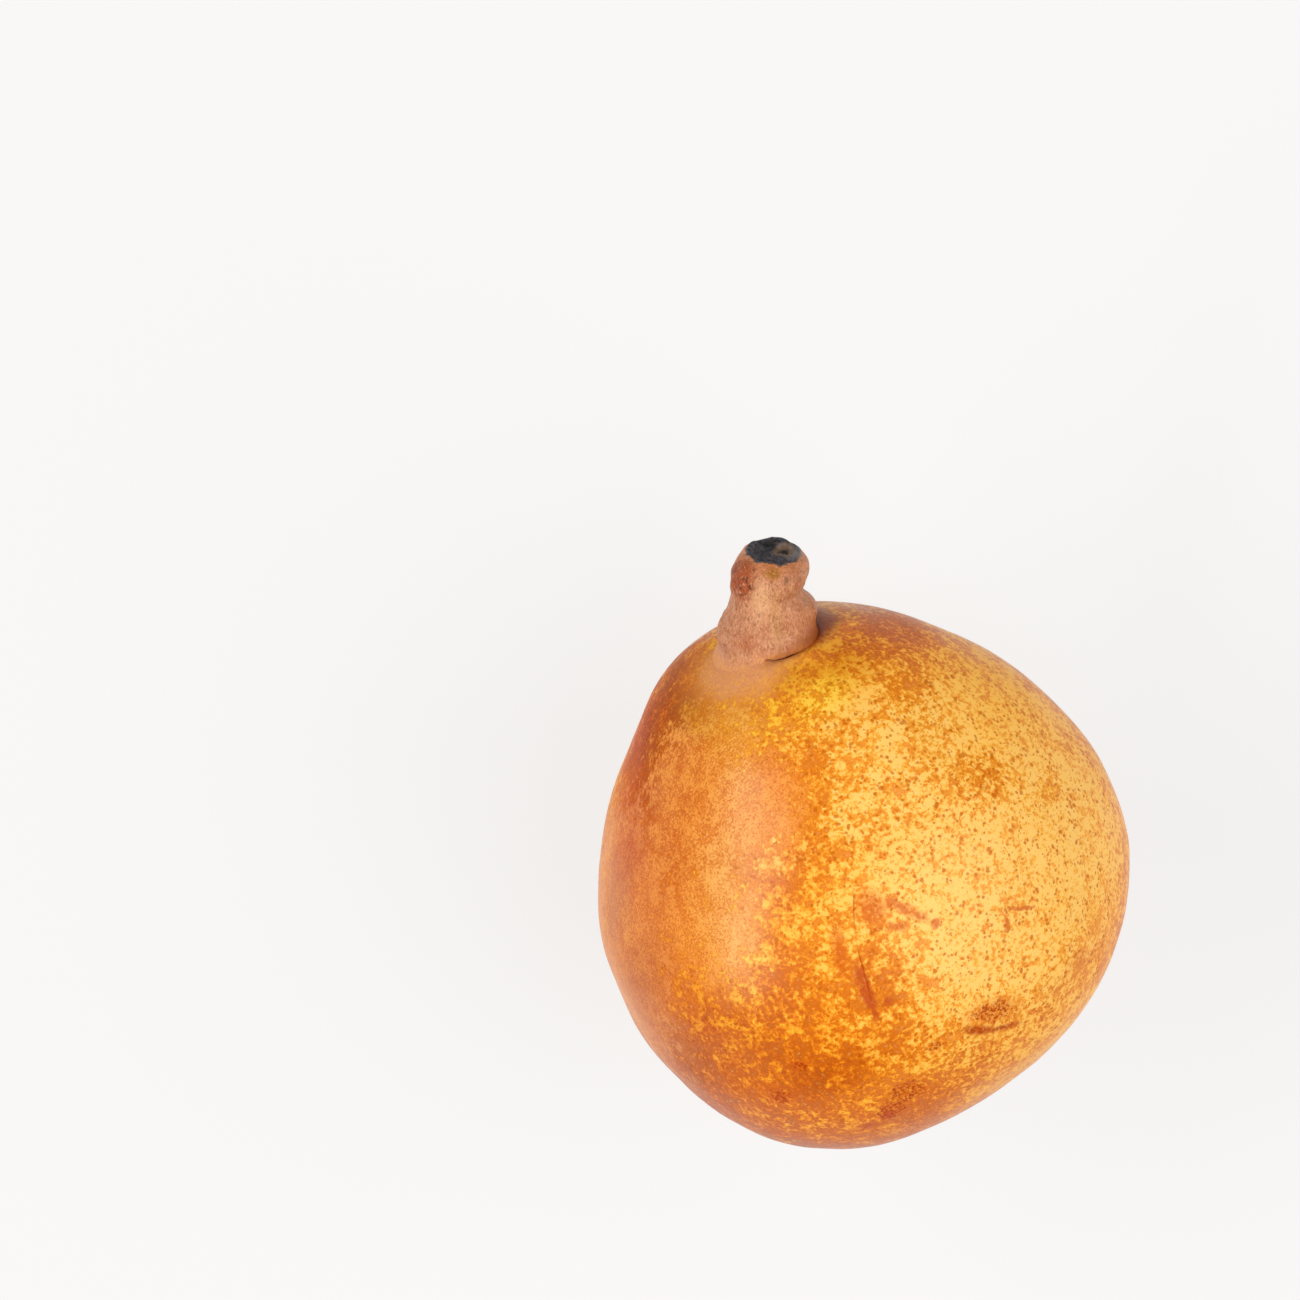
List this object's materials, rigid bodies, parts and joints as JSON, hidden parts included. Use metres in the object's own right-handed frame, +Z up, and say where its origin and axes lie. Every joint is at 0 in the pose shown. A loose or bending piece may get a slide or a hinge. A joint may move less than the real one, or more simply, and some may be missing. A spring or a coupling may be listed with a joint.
{
  "type": "pear",
  "caption": "Ripe squat pear lying on its side, with a short fleshy stem at one end and a dried calyx in the hollow of the other.",
  "frame": {"origin": "on the small flat spot that the fruit rests on, right under its balance point", "axes": "+Z up from the surface it lies on; the core runs in the YZ plane from the blossom end at -Y up to the stem end at +Y, sloping 28 degrees; +X to the right when looking along +Y"},
  "size_m": [0.0772, 0.086, 0.0754],
  "materials": {
    "skin": "satin",
    "stem_bark": "matte",
    "dried_sepal": "matte",
    "dried_stamens": "matte"
  },
  "bodies": {
    "root": {"fruit": "skin", "stem": "stem_bark", "sepal_1": "dried_sepal", "sepal_2": "dried_sepal", "sepal_3": "dried_sepal", "sepal_4": "dried_sepal", "sepal_5": "dried_sepal", "stamens": "dried_stamens"}
  },
  "joints": []
}
